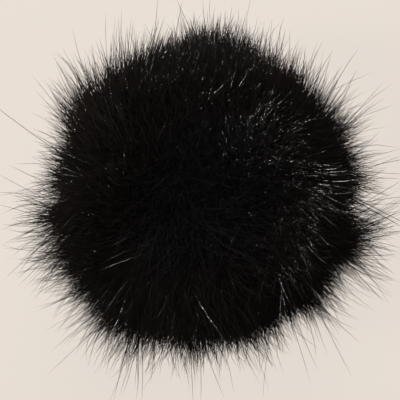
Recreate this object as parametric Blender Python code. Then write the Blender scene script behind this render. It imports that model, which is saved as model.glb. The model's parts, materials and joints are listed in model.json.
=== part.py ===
"""Furry ball windscreen for a 19 to 22 mm microphone, modelled at rest in metres.

A hollow ball basket in two halves stands on a collar with a twist clamp. A six-panel fur
cover goes over the ball and is drawn shut round the collar's neck by an elastic cord with
a spring cord lock. +Z runs along the microphone's axis, towards the crown. The origin is
the centre of the collar's open end, the flat face that the object stands on.
"""

import math

import bmesh
import bpy
from mathutils import Matrix, Vector

MM = 0.001
GAP = 0.3  # clearance between pieces that touch or are bonded

# Driving dimensions, in millimetres
BALL_RADIUS = 45.0
BALL_Z = 64.0
BASKET_WALL = 2.0
BASKET_COLUMNS = 16
FRONT_ROWS = 5
REAR_ROWS = 4
RIB_WIDTH = 2.2
GAUZE_WALL = 0.5
GAUZE_GAP = 0.6

RIM_HEIGHT = 3.5
RIM_WALL = 2.7
SPIGOT_WALL = 1.4
SEAL_RADIUS = 0.4
RIM_GAP = 0.8  # between each rim and its basket, at the outer face

PANELS = 6
FUR_GAP = 0.7
PILE = 21.3
PILE_AT_MOUTH = 5.0
PILE_THINS_FROM = 105.0  # degrees from the crown
MOUTH_ANGLE = 152.0
CROWN_HOLE_ANGLE = 0.8

SLEEVE_BORE = 10.7
SLEEVE_RIB_BORE = 10.2
COLLAR_BORE = 12.7
NECK_RADIUS = 16.5
THREAD_RADIUS = 15.2
FINGER_TIP_RADIUS = 14.2
TAPER_TOP_Z = 6.0
NECK_Z = 15.0
SLOT_WIDTH = 1.2
SLOT_TOP_Z = 12.0
SLOT_CUTS = 3  # each cut crosses the tube, so it makes two slots
FLANGE_RADIUS = 20.8
FLANGE_WALL = 2.3
BOSS_EDGE = 22.9

NUT_BOTTOM_Z = 1.8
NUT_TOP_Z = 12.2
NUT_RADIUS = 20.5
NUT_LOBES = 18
NUT_LOBE_DEPTH = 0.55
NUT_TRAVEL = 1.5  # climb of the nut and its ring from open to tight
POCKET_RADIUS = 17.2
POCKET_TOP_Z = 7.3

SCREW_CIRCLE = 18.9
SCREWS = 4
SCREW_RADIUS = 0.8
SCREW_HEAD_RADIUS = 1.6
SCREW_HEAD_HEIGHT = 1.2

CORD_RADIUS = 1.1
CHANNEL_RADIUS = 1.55
CORD_CIRCLE = 19.1
CORD_Z = 16.2
CORD_SPACING = 2.5
CORD_EXIT_ANGLE = 9.0
CORD_BEND = 1.9
CORD_DROP_START = 23.5
CORD_END_Y = 58.0
CORD_END_Z = 4.4
BINDING_WIDTH = 4.0
BINDING_BOTTOM_Z = 14.0
BINDING_TOP_Z = 23.2

LOCK_Y = 50.7
LOCK_RADIUS = 5.2
LOCK_LENGTH = 14.5
LOCK_BACK = -9.5  # the barrel's closed end, from the cords
LOCK_WALL = 1.3
PLUNGER_FOOT = -3.4
PLUNGER_TRAVEL = 2.0
SPRING_TURNS = 3
SPRING_WIRE = 0.35

ROUND = 36  # segments round a turned piece
SMALL_ROUND = 16


def clear_scene():
    for obj in list(bpy.data.objects):
        bpy.data.objects.remove(obj)


def material(name, colour, roughness, metallic=0.0):
    made = bpy.data.materials.new(name)
    made.use_nodes = True
    shader = made.node_tree.nodes["Principled BSDF"]
    shader.inputs["Base Color"].default_value = (*colour, 1.0)
    shader.inputs["Roughness"].default_value = roughness
    shader.inputs["Metallic"].default_value = metallic
    return made


def object_of(name, mesh, finish, sharp_angle=35.0):
    mesh.shade_smooth()
    mesh.set_sharp_from_angle(angle=math.radians(sharp_angle))
    mesh.materials.append(finish)
    obj = bpy.data.objects.new(name, mesh)
    bpy.context.scene.collection.objects.link(obj)
    return obj


def mesh_of(bm, name):
    bmesh.ops.recalc_face_normals(bm, faces=bm.faces)
    mesh = bpy.data.meshes.new(name)
    bm.to_mesh(mesh)
    bm.free()
    return mesh


def turned(name, profile, finish, steps=ROUND, closed=True):
    """Spins a profile of (radius, height) in millimetres round the Z axis.

    A closed profile makes a ring. An open one starts and ends on the axis.
    """
    bm = bmesh.new()
    corners = [bm.verts.new((r * MM, 0, z * MM)) for r, z in profile]
    ends = corners[1:] + corners[:1] if closed else corners[1:]
    edges = [bm.edges.new(pair) for pair in zip(corners, ends)]
    bmesh.ops.spin(
        bm, geom=corners + edges, axis=(0, 0, 1), cent=(0, 0, 0), dvec=(0, 0, 0),
        angle=math.tau, steps=steps, use_merge=True,
    )
    bmesh.ops.remove_doubles(bm, verts=bm.verts, dist=1e-6)
    return object_of(name, mesh_of(bm, name), finish)


def tube(name, path, radius, finish, sides=8, cyclic=False):
    """A round tube along a path of points in metres."""
    curve = bpy.data.curves.new(name, "CURVE")
    curve.dimensions = "3D"
    curve.bevel_depth = radius * MM
    curve.bevel_resolution = max(sides // 2 - 2, 0)
    curve.use_fill_caps = True
    spline = curve.splines.new("POLY")
    spline.points.add(len(path) - 1)
    spline.use_cyclic_u = cyclic
    for point, place in zip(spline.points, path):
        point.co = (*place, 1.0)
    drawn = bpy.data.objects.new(name + "_path", curve)
    bpy.context.scene.collection.objects.link(drawn)
    graph = bpy.context.evaluated_depsgraph_get()
    mesh = bpy.data.meshes.new_from_object(drawn.evaluated_get(graph))
    bpy.data.objects.remove(drawn)
    bm = bmesh.new()
    bm.from_mesh(mesh)
    bmesh.ops.remove_doubles(bm, verts=bm.verts, dist=1e-6)
    return object_of(name, mesh_of(bm, name), finish)


def hidden(obj):
    obj.hide_render = True
    obj.display_type = "WIRE"
    return obj


def cut(obj, cutter, operation="DIFFERENCE"):
    change = obj.modifiers.new(cutter.name, "BOOLEAN")
    change.operation = operation
    change.object = cutter
    change.solver = "EXACT"


def box_cutter(name, size, place, turn=None):
    bm = bmesh.new()
    bmesh.ops.create_cube(bm, size=1.0)
    bmesh.ops.scale(bm, vec=[side * MM for side in size], verts=bm.verts)
    if turn is not None:
        bmesh.ops.transform(bm, matrix=turn, verts=bm.verts)
    bmesh.ops.translate(bm, vec=[at * MM for at in place], verts=bm.verts)
    mesh = mesh_of(bm, name)
    obj = bpy.data.objects.new(name, mesh)
    bpy.context.scene.collection.objects.link(obj)
    return hidden(obj)


def rod_cutter(name, radius, bottom, top, x, y, steps=SMALL_ROUND):
    profile = [(0, bottom), (radius, bottom), (radius, top), (0, top)]
    rod = turned(name, profile, None, steps, closed=False)
    rod.location = (x * MM, y * MM, 0)
    return hidden(rod)


def on_sphere(radius, angle):
    """(radius, height) at an angle in degrees from the crown, on a sphere about the ball's centre."""
    turn = math.radians(angle)
    return radius * math.sin(turn), BALL_Z + radius * math.cos(turn)


def latitude(radius, height):
    """Angle from the crown, in degrees, at which a sphere reaches a height above the ball's centre."""
    return math.degrees(math.acos(height / radius))


def ball_sheet(profile, columns):
    """An open sheet of revolution, its faces pointing away from the ball's centre."""
    bm = bmesh.new()
    corners = [bm.verts.new((r * MM, 0, z * MM)) for r, z in profile]
    edges = [bm.edges.new(pair) for pair in zip(corners, corners[1:])]
    bmesh.ops.spin(
        bm, geom=corners + edges, axis=(0, 0, 1), cent=(0, 0, 0), dvec=(0, 0, 0),
        angle=math.tau, steps=columns, use_merge=True,
    )
    bmesh.ops.remove_doubles(bm, verts=bm.verts, dist=1e-6)
    centre = Vector((0, 0, BALL_Z * MM))
    bm.normal_update()
    inward = [f for f in bm.faces if f.normal.dot(f.calc_center_median() - centre) < 0]
    bmesh.ops.reverse_faces(bm, faces=inward)
    return bm


def thicken(obj, wall):
    """Gives a sheet a wall on its inner side."""
    solid = obj.modifiers.new("wall", "SOLIDIFY")
    solid.thickness = wall * MM
    solid.offset = -1.0
    solid.use_even_offset = True


def sheet_object(name, bm, finish, wall):
    mesh = bpy.data.meshes.new(name)
    bm.to_mesh(mesh)
    bm.free()
    obj = object_of(name, mesh, finish)
    thicken(obj, wall)
    return obj


def open_windows(bm, is_window):
    """Turns each chosen face into a frame of ribs round an opening."""
    windows = [f for f in bm.faces if is_window(f)]
    bmesh.ops.inset_individual(bm, faces=windows, thickness=RIB_WIDTH / 2 * MM, use_even_offset=True)
    bmesh.ops.delete(bm, geom=windows, context="FACES")


def close_crown(bm):
    """Fills the small hole at the crown of an open sheet."""
    high = (BALL_Z + 0.8 * BALL_RADIUS) * MM
    rim = [e for e in bm.edges if e.is_boundary and e.verts[0].co.z > high]
    bmesh.ops.contextual_create(bm, geom=rim)


def front_rows():
    start, end = 6.0, latitude(BALL_RADIUS, RIM_HEIGHT + RIM_GAP)
    return [start + (end - start) * i / FRONT_ROWS for i in range(FRONT_ROWS + 1)]


def rear_rows():
    start = latitude(BALL_RADIUS, -RIM_HEIGHT - RIM_GAP)
    end = latitude(BALL_RADIUS, boss_bottom_z() - BALL_Z)
    return [start + (end - start) * i / REAR_ROWS for i in range(REAR_ROWS + 1)]


def front_basket(finish):
    bm = ball_sheet([on_sphere(BALL_RADIUS, angle) for angle in front_rows()], BASKET_COLUMNS)
    windows = set(bm.faces)
    close_crown(bm)
    open_windows(bm, lambda face: face in windows)
    return sheet_object("front_basket", bm, finish, BASKET_WALL)


def boss_bottom_z():
    """Height of the flat ring at the foot of the rear basket."""
    return BALL_Z - math.sqrt(BALL_RADIUS**2 - BOSS_EDGE**2)


def rear_basket(finish):
    profile = [on_sphere(BALL_RADIUS, angle) for angle in rear_rows()]
    profile.append((NECK_RADIUS + 2 * GAP, boss_bottom_z()))
    bm = ball_sheet(profile, BASKET_COLUMNS)
    flat = 1e-5
    boss = {f for f in bm.faces if all(abs(v.co.z - boss_bottom_z() * MM) < flat for v in f.verts)}
    open_windows(bm, lambda face: face not in boss)
    basket = sheet_object("rear_basket", bm, finish, BASKET_WALL)
    for i, (x, y) in enumerate(screw_places()):
        top = boss_bottom_z() + BASKET_WALL + 1
        hole = rod_cutter(f"boss_hole_{i}", SCREW_RADIUS + GAP, boss_bottom_z() - 1, top, x, y)
        cut(basket, hole)
    return basket


def gauze_radius():
    return BALL_RADIUS - BASKET_WALL - GAUZE_GAP


def front_gauze(finish):
    """Acoustic gauze behind the front basket's windows, in facets that match the basket's."""
    bm = ball_sheet([on_sphere(gauze_radius(), angle) for angle in front_rows()], BASKET_COLUMNS)
    close_crown(bm)
    return sheet_object("front_gauze", bm, finish, GAUZE_WALL)


def rear_gauze(finish):
    foot = latitude(gauze_radius(), flange_bottom_z() + FLANGE_WALL + GAP - BALL_Z)
    angles = rear_rows()[:-1] + [foot]
    bm = ball_sheet([on_sphere(gauze_radius(), angle) for angle in angles], BASKET_COLUMNS)
    return sheet_object("rear_gauze", bm, finish, GAUZE_WALL)


def front_rim(finish):
    inner, bottom = BALL_RADIUS - RIM_WALL, BALL_Z + GAP / 2
    top = BALL_Z + RIM_HEIGHT
    profile = [(inner, bottom), (BALL_RADIUS, bottom), (BALL_RADIUS, top), (inner, top)]
    return turned("front_rim", profile, finish)


def spigot_radius():
    return BALL_RADIUS - RIM_WALL - GAP


def seal_groove():
    """Inner and outer radius of the groove in the rear rim's face."""
    return spigot_radius() + 0.9, BALL_RADIUS - 0.8


def rear_rim(finish):
    """Joint ring of the rear half, with the seal's groove in its face and the spigot above it."""
    face, bottom = BALL_Z - GAP / 2, BALL_Z - RIM_HEIGHT
    spigot = spigot_radius()
    groove_in, groove_out = seal_groove()
    groove_z = face - 2 * SEAL_RADIUS - GAP
    profile = [
        (BALL_RADIUS, bottom), (BALL_RADIUS, face), (groove_out, face), (groove_out, groove_z),
        (groove_in, groove_z), (groove_in, face), (spigot, face), (spigot, BALL_Z + RIM_HEIGHT),
        (spigot - SPIGOT_WALL, BALL_Z + RIM_HEIGHT), (spigot - SPIGOT_WALL, bottom),
    ]
    return turned("rear_rim", profile, finish)


def rim_seal(finish):
    middle = sum(seal_groove()) / 2
    height = BALL_Z - GAP / 2 - SEAL_RADIUS - GAP / 3
    profile = [
        (middle + SEAL_RADIUS * math.cos(a), height + SEAL_RADIUS * math.sin(a))
        for a in (math.tau * i / 6 for i in range(6))
    ]
    return turned("rim_seal", profile, finish)


def screw_places():
    turns = [math.tau * (i + 0.5) / SCREWS for i in range(SCREWS)]
    return [(SCREW_CIRCLE * math.cos(a), SCREW_CIRCLE * math.sin(a)) for a in turns]


def flange_bottom_z():
    return boss_bottom_z() + BASKET_WALL + GAP


def collar(finish):
    """Neck tube with the inner flange above and the clamp's slotted fingers below."""
    flange_z = flange_bottom_z()
    flange_top = flange_z + FLANGE_WALL
    profile = [
        (COLLAR_BORE, 0), (FINGER_TIP_RADIUS, 0), (THREAD_RADIUS, TAPER_TOP_Z),
        (THREAD_RADIUS, NECK_Z), (NECK_RADIUS, NECK_Z), (NECK_RADIUS, flange_z),
        (FLANGE_RADIUS, flange_z), (FLANGE_RADIUS, flange_top), (COLLAR_BORE, flange_top),
    ]
    body = turned("collar", profile, finish)
    for i in range(SLOT_CUTS):
        turn = Matrix.Rotation(math.pi * (i + 0.5) / SLOT_CUTS, 4, "Z")
        size = (2 * NECK_RADIUS + 4, SLOT_WIDTH, 2 * SLOT_TOP_Z)
        cut(body, box_cutter(f"slot_{i}", size, (0, 0, 0), turn))
    for i, (x, y) in enumerate(screw_places()):
        hole = rod_cutter(f"flange_hole_{i}", SCREW_RADIUS + GAP, flange_z - 1, flange_top + 1, x, y)
        cut(body, hole)
    return body


def grip_sleeve(finish):
    """Rubber liner whose inner ribs hold the microphone."""
    outer, bottom = COLLAR_BORE - GAP, 1.0
    top = flange_bottom_z() + FLANGE_WALL
    ribs, rib_height = 3, 1.8
    profile = [(outer, bottom), (outer, top), (SLEEVE_BORE, top)]
    for i in reversed(range(ribs)):
        middle = bottom + (top - bottom) * (i + 0.5) / ribs
        profile += [
            (SLEEVE_BORE, middle + rib_height), (SLEEVE_RIB_BORE, middle + rib_height / 2),
            (SLEEVE_RIB_BORE, middle - rib_height / 2), (SLEEVE_BORE, middle - rib_height),
        ]
    profile.append((SLEEVE_BORE, bottom))
    return turned("grip_sleeve", profile, finish)


def compression_ring(finish):
    """Split taper ring that the nut pushes up the fingers without turning it."""
    bottom, top = NUT_BOTTOM_Z + 1.4, POCKET_TOP_Z - GAP
    slope = (THREAD_RADIUS - FINGER_TIP_RADIUS) / TAPER_TOP_Z
    # At the top of its travel the ring's mouth just clears the taper.
    lead_in = FINGER_TIP_RADIUS + slope * (bottom + NUT_TRAVEL) + 0.2
    outer = POCKET_RADIUS - GAP
    profile = [(lead_in, bottom), (outer, bottom), (outer, top), (THREAD_RADIUS + GAP, top)]
    ring = turned("compression_ring", profile, finish)
    middle = (outer + THREAD_RADIUS) / 2
    cut(ring, box_cutter("ring_split", (6.0, 2.0, 20.0), (middle, 0, 0)))
    return ring


def clamp_nut(finish):
    lip, edge = FINGER_TIP_RADIUS + 1.0, 1.0
    thread = THREAD_RADIUS + GAP
    outer = NUT_RADIUS
    profile = [
        (lip, NUT_BOTTOM_Z), (outer - edge, NUT_BOTTOM_Z), (outer, NUT_BOTTOM_Z + edge),
        (outer, NUT_TOP_Z - edge), (outer - edge, NUT_TOP_Z), (thread, NUT_TOP_Z),
        (thread, POCKET_TOP_Z), (POCKET_RADIUS, POCKET_TOP_Z),
        (POCKET_RADIUS, NUT_BOTTOM_Z + 1.1), (lip, NUT_BOTTOM_Z + 1.1),
    ]
    nut = turned("clamp_nut", profile, finish, steps=4 * NUT_LOBES)
    for vertex in nut.data.vertices:
        radius = vertex.co.xy.length
        if radius > (outer - edge / 2) * MM:
            wave = math.cos(NUT_LOBES * math.atan2(vertex.co.y, vertex.co.x))
            vertex.co.xy *= 1 - NUT_LOBE_DEPTH * MM * (1 - wave) / 2 / radius
    return nut


def collar_screw(name, x, y, finish):
    seat = flange_bottom_z() + FLANGE_WALL + GAP
    head_top = seat + SCREW_HEAD_HEIGHT
    tip = boss_bottom_z() + GAP
    profile = [
        (0, tip), (SCREW_RADIUS, tip), (SCREW_RADIUS, seat), (SCREW_HEAD_RADIUS, seat),
        (SCREW_HEAD_RADIUS, head_top - 0.5), (SCREW_HEAD_RADIUS - 0.5, head_top), (0, head_top),
    ]
    screw = turned(name, profile, finish, steps=12, closed=False)
    for i in range(2):
        turn = Matrix.Rotation(math.pi * i / 2, 4, "Z")
        slot = box_cutter(f"{name}_drive_{i}", (1.9, 0.5, 1.2), (0, 0, head_top), turn)
        slot.location = (x * MM, y * MM, 0)
        cut(screw, slot)
    screw.location = (x * MM, y * MM, 0)
    return screw


def pile_depth(angle):
    """Depth of the standing pile at an angle in degrees from the crown."""
    share = max(0.0, (angle - PILE_THINS_FROM) / (MOUTH_ANGLE - PILE_THINS_FROM))
    return PILE + (PILE_AT_MOUTH - PILE) * share


def fur_panel(name, index, finish, rows=14, columns=4):
    """One gore of the cover: fabric and standing pile as one thick shell."""
    inner = BALL_RADIUS + FUR_GAP
    bm = bmesh.new()
    layers = []
    for standing in (0, 1):
        grid = []
        for row in range(rows + 1):
            angle = CROWN_HOLE_ANGLE + (MOUTH_ANGLE - CROWN_HOLE_ANGLE) * row / rows
            radius, height = on_sphere(inner + standing * pile_depth(angle), angle)
            half = math.pi / PANELS - math.asin(GAP / 2 / (inner * math.sin(math.radians(angle))))
            middle = math.tau * (index + 0.5) / PANELS
            line = []
            for column in range(columns + 1):
                turn = middle + half * (2 * column / columns - 1)
                line.append(bm.verts.new(
                    (radius * MM * math.cos(turn), radius * MM * math.sin(turn), height * MM)
                ))
            grid.append(line)
        layers.append(grid)
    for grid in layers:
        for upper, lower in zip(grid, grid[1:]):
            for k in range(columns):
                bm.faces.new((upper[k], upper[k + 1], lower[k + 1], lower[k]))
    loose = [e for e in bm.edges if e.is_boundary]
    bmesh.ops.bridge_loops(bm, edges=loose)
    return object_of(name, mesh_of(bm, name), finish, sharp_angle=50)


def cord_slope():
    """Unit direction of the drawcord's free run, outwards and down."""
    run = CORD_END_Y - CORD_DROP_START
    return Vector((0, -run, CORD_END_Z - CORD_Z)).normalized()


def cord_point(y):
    """Centre of the cord pair at a distance in front of the axis, in metres."""
    slope = cord_slope()
    along = (y - CORD_DROP_START) / -slope.y
    return (Vector((0, -CORD_DROP_START, CORD_Z)) + slope * along) * MM


def half_cord_path(side, end_y, bend_steps=5, circle_steps=16):
    """Points from the middle of the neck's back, round one side, out at the front to end_y."""
    stop = math.radians(CORD_EXIT_ANGLE)
    path = []
    for i in range(circle_steps + 1):
        turn = math.pi - (math.pi - stop) * i / circle_steps
        path.append(Vector((side * CORD_CIRCLE * math.sin(turn), -CORD_CIRCLE * math.cos(turn), CORD_Z)))
    # From the circle the cord turns outwards on a small bend and runs on beside its twin.
    last = path[-1]
    heading = math.radians(CORD_EXIT_ANGLE)
    for i in range(1, bend_steps + 1):
        turn = heading + (math.pi / 2 - heading) * i / bend_steps
        x = last.x - side * CORD_BEND * (math.sin(turn) - math.sin(heading)) * 0.95
        y = last.y - CORD_BEND * (math.cos(heading) - math.cos(turn))
        path.append(Vector((x, y, CORD_Z)))
    path.append(Vector((side * CORD_SPACING / 2, -CORD_DROP_START, CORD_Z)))
    end = cord_point(end_y) / MM
    path.append(Vector((side * CORD_SPACING / 2, end.y, end.z)))
    return [point * MM for point in path]


def cord_path(end_y):
    left, right = half_cord_path(-1, end_y), half_cord_path(1, end_y)
    return left[::-1] + right[1:]


def neck_binding(finish):
    """Hem tape round the cover's mouth, with the drawcord's channel inside it."""
    inner, outer = CORD_CIRCLE - BINDING_WIDTH / 2, CORD_CIRCLE + BINDING_WIDTH / 2
    low, high = BINDING_BOTTOM_Z, BINDING_TOP_Z
    edge = 0.9
    profile = [
        (inner, low + edge), (inner + edge, low), (outer - edge, low), (outer, low + edge),
        (outer, high - edge), (outer - edge, high), (inner + edge, high), (inner, high - edge),
    ]
    binding = turned("neck_binding", profile, finish)
    circle = [math.tau * (i + 0.5) / 8 for i in range(8)]
    ring = [
        (CORD_CIRCLE + CHANNEL_RADIUS * math.cos(a), CORD_Z + CHANNEL_RADIUS * math.sin(a))
        for a in circle
    ]
    cut(binding, hidden(turned("cord_channel", ring, None)))
    size = (CORD_SPACING + 2 * CHANNEL_RADIUS + 1.2, BINDING_WIDTH, 2 * CHANNEL_RADIUS - 0.1)
    cut(binding, box_cutter("cord_exit", size, (0, -CORD_CIRCLE - BINDING_WIDTH / 2, CORD_Z)))
    return binding


def across(direction):
    """Rotation that takes +Z to a direction in the YZ plane and keeps X."""
    return Matrix.Rotation(math.atan2(-direction.y, direction.z), 4, "X")


def cord_eyelet(finish):
    """Metal grommet where both cords leave the binding."""
    inner, outer, wall = 2.8, 3.9, 0.9
    profile = [
        (inner, 0), (outer - 0.3, 0), (outer, 0.4), (outer - 0.4, wall), (inner + 0.3, wall),
        (inner, wall - 0.3),
    ]
    eyelet = turned("cord_eyelet", profile, finish, steps=24)
    front = CORD_CIRCLE + BINDING_WIDTH / 2 + GAP
    eyelet.matrix_world = Matrix.Translation((0, -front * MM, CORD_Z * MM)) @ across(Vector((0, -1, 0)))
    return eyelet


def cord_end(finish):
    """Moulded clip that closes the cord's two ends."""
    length, radius = 4.8, 2.9
    start = cord_point(CORD_END_Y - 2.2)
    profile = [
        (0, 0), (radius - 0.5, 0), (radius, 0.6), (radius * 0.85, length - 1.0),
        (radius * 0.55, length), (0, length),
    ]
    clip = turned("cord_end", profile, finish, steps=20, closed=False)
    clip.matrix_world = Matrix.Translation(start) @ across(cord_slope())
    for side in (-1, 1):
        hole = rod_cutter(f"end_hole_{side + 1}", CORD_RADIUS + GAP, -1, 2.8, 0, 0)
        shift = Matrix.Translation(start + Vector((side * CORD_SPACING / 2 * MM, 0, 0)))
        hole.matrix_world = shift @ across(cord_slope())
        cut(clip, hole)
    return clip


def lock_frame():
    """Places a piece built along +Z so that its axis is +X, on the cord's run, slots along the cord."""
    turn = across(cord_slope()) @ Matrix.Rotation(math.pi / 2, 4, "Y")
    return Matrix.Translation(cord_point(LOCK_Y)) @ turn


def cord_slot(name, low, high):
    """Cutter for both cords, through a lock piece that is built along +Z."""
    middle = (low + high) / 2
    height = 2 * (CORD_RADIUS + GAP)
    slot = box_cutter(name, (4 * LOCK_RADIUS, height, high - low), (0, 0, middle))
    slot.matrix_world = lock_frame()
    return slot


def cord_lock_body(finish):
    """Barrel with one closed end. The plunger enters at +X."""
    inner, bottom, top = LOCK_RADIUS - LOCK_WALL, LOCK_BACK, LOCK_BACK + LOCK_LENGTH
    profile = [
        (0, bottom), (LOCK_RADIUS - 1.2, bottom), (LOCK_RADIUS, bottom + 1.2), (LOCK_RADIUS, top - 0.8),
        (LOCK_RADIUS - 0.6, top), (inner, top), (inner, bottom + LOCK_WALL), (0, bottom + LOCK_WALL),
    ]
    body = turned("cord_lock_body", profile, finish, steps=28, closed=False)
    body.matrix_world = lock_frame()
    reach = CORD_SPACING / 2 + CORD_RADIUS + GAP
    cut(body, cord_slot("body_slot", -reach, reach))
    return body


def cord_lock_plunger(finish):
    """Spring-loaded button. Its slot is longer than the cords by the button's travel."""
    radius = LOCK_RADIUS - LOCK_WALL - GAP
    foot, head = PLUNGER_FOOT, LOCK_BACK + LOCK_LENGTH + PLUNGER_TRAVEL + GAP
    top = head + 2.2
    profile = [
        (0, foot), (radius, foot), (radius, head), (LOCK_RADIUS - 0.4, head),
        (LOCK_RADIUS - 0.4, top - 0.8), (LOCK_RADIUS - 1.2, top), (0, top),
    ]
    plunger = turned("cord_lock_plunger", profile, finish, steps=28, closed=False)
    plunger.matrix_world = lock_frame()
    reach = CORD_SPACING / 2 + CORD_RADIUS + GAP
    cut(plunger, cord_slot("plunger_slot", -reach, reach + PLUNGER_TRAVEL))
    return plunger


def cord_lock_spring(finish):
    low = LOCK_BACK + LOCK_WALL + GAP + SPRING_WIRE
    high = PLUNGER_FOOT - GAP - SPRING_WIRE
    steps, radius = 12 * SPRING_TURNS, 2.7
    frame = lock_frame()
    path = []
    for i in range(steps + 1):
        turn = math.tau * SPRING_TURNS * i / steps
        height = low + (high - low) * i / steps
        local = Vector((radius * math.cos(turn), radius * math.sin(turn), height)) * MM
        path.append(frame @ local)
    return tube("cord_lock_spring", path, SPRING_WIRE, finish, sides=6)


def build():
    clear_scene()
    fur = material("fur", (0.008, 0.007, 0.007), 0.6)
    tape = material("tape", (0.012, 0.012, 0.012), 0.85)
    elastic = material("elastic", (0.015, 0.015, 0.015), 0.8)
    steel = material("steel", (0.45, 0.45, 0.46), 0.35, 1.0)
    plastic = material("plastic", (0.02, 0.02, 0.022), 0.5)
    mesh_cloth = material("mesh_cloth", (0.03, 0.03, 0.032), 0.8)
    rubber = material("rubber", (0.015, 0.015, 0.015), 0.75)
    nylon = material("nylon", (0.55, 0.54, 0.5), 0.5)

    front_basket(plastic)
    front_gauze(mesh_cloth)
    front_rim(plastic)
    rear_basket(plastic)
    rear_gauze(mesh_cloth)
    rear_rim(plastic)
    rim_seal(rubber)
    collar(plastic)
    grip_sleeve(rubber)
    for i, (x, y) in enumerate(screw_places()):
        collar_screw(f"collar_screw_{i + 1}", x, y, steel)
    compression_ring(nylon)
    clamp_nut(plastic)
    for i in range(PANELS):
        fur_panel(f"fur_panel_{i + 1}", i, fur)
    neck_binding(tape)
    cord_eyelet(steel)
    tube("drawcord", cord_path(CORD_END_Y), CORD_RADIUS, elastic)
    cord_end(plastic)
    cord_lock_body(plastic)
    cord_lock_plunger(plastic)
    cord_lock_spring(steel)


build()
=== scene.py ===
from math import acos, ceil, cos, degrees, dist, pi, radians, sin, tau

import bmesh
import bpy
import numpy as np
from mathutils import Matrix, Vector
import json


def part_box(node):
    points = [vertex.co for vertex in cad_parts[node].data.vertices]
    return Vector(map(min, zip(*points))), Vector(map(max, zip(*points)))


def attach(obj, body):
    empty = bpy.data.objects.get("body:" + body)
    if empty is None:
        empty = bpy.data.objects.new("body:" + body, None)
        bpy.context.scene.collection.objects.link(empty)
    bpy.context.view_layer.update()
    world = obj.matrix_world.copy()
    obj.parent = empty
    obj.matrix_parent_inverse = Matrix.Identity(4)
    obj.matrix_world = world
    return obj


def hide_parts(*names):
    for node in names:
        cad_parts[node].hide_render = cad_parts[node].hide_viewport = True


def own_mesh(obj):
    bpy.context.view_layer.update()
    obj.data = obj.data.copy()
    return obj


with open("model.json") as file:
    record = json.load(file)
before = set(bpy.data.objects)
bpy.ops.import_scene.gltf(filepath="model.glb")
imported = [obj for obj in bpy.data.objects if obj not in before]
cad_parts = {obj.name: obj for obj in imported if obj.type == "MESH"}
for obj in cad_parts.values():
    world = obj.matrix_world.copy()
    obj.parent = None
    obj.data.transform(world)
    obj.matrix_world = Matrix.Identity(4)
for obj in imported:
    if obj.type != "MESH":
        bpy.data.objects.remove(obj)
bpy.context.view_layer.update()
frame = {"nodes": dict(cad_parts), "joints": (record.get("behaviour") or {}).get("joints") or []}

MM = 0.001  # sizes are in millimetres, and points that go into a mesh in metres
SEED = 11

# Places, from the frame, in metres
RIM_STEP = 3.35 * MM  # how much further the rear rim reaches from the ball's middle than the front one
BALL_Z = (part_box("front_rim")[0].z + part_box("rear_rim")[0].z + RIM_STEP) / 2
BALL_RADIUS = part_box("front_rim")[1].x
CENTRE = np.array([0.0, 0.0, BALL_Z])
CLOTH_RADIUS = BALL_RADIUS + 1.6 * MM  # outer face of the cover's backing
CORD_AXIS = next(joint["axis"] for joint in frame["joints"] if joint["name"] == "lock_slide")
MOUTH_ANGLE = radians(152)  # of the cover's mouth, from the crown

# Sizes that the CAD holds
PANELS = 6
BASKET_COLUMNS, FRONT_ROWS, REAR_ROWS = 16, 5, 4
BASKET_WALL, RIB_WIDTH = 2.0, 2.2
RIM_HEIGHT, RIM_GAP, RIM_WALL = 3.5, 0.8, 2.7
COLLAR_BORE, FINGER_TIP_RADIUS, THREAD_RADIUS, NECK_RADIUS = 12.7, 14.2, 15.2, 16.5
TAPER_TOP_Z, SLOT_TOP_Z, NECK_Z, FLANGE_WALL = 6.0, 12.0, 15.0, 2.3
RING_TOP_Z = 8.5  # the compression ring's top when it has climbed
SLEEVE_BORE, SLEEVE_RIB_BORE = 10.7, 10.2
NUT_RADIUS, NUT_LOBES, POCKET_RADIUS, POCKET_TOP_Z = 20.5, 18, 17.2, 7.3
NUT_LEAD = 3.0  # climb in a full turn
BINDING_WIDTH, BACKING_WALL = 4.0, 0.8
CORD_RADIUS, CORD_CIRCLE, CORD_Z, CORD_SPACING = 1.1, 19.1, 16.2, 2.5
CORD_EXIT_ANGLE, CORD_BEND, CORD_DROP_START, CORD_END_Y, CORD_END_Z = 9.0, 1.9, 23.5, 58.0, 4.4
LOCK_WALL, BUTTON_TRAVEL = 1.3, 2.0

# Pile. A hair's height is a normal draw (height and spread) plus an exponential tail, so that few reach far
# out. Stray scatters its lean, and comb leans it sideways. Curl is its wave's size, and twist the wave's
# turn in radians. Clump is how far it is drawn to its lock's tip.
HAIR_KINDS = {
    "under": dict(
        pieces=1, count=8900, rings=4, height=9.3, spread=4.9, tail=1.6, radius=0.085,
        stray=0.24, curl=0.5, twist=4.6, clump=0.50, comb=0.0, gloss=0.04, index=1.45, roughness=0.60,
    ),
    "guard": dict(
        pieces=2, count=4600, rings=6, height=11.6, spread=4.4, tail=4.5, radius=0.108,
        stray=0.25, curl=1.0, twist=4.6, clump=0.74, comb=0.0, gloss=0.03, index=1.45, roughness=0.55,
    ),
    "shine": dict(
        pieces=1, count=560, rings=9, height=13.0, spread=3.0, tail=1.6, radius=0.105,
        stray=0.14, curl=0.6, twist=6.5, clump=0.30, comb=-0.34, gloss=0.50, index=2.60, roughness=0.09,
    ),
}
LEAN = 0.30  # how far the nap leans down the panels
SHORTEST, HIGHEST = 4.0, 33.5
WIDEST, TALLEST = 80.4, 143.0  # no hair reaches past these, from the axis and the floor
FLOOR_EASE, FLOOR_REST = 4.0, 0.4  # hairs that reach below the first bend over, and lie at the second
NUT_SPACE, NUT_TOP = 21.6, 14.6  # the clamp nut's radius and height with room to spare, at its highest
LOCK_SPACE, LOCK_HALF_LENGTH, LOCK_TRAVEL = 6.6, 11.5, 18.0
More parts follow.
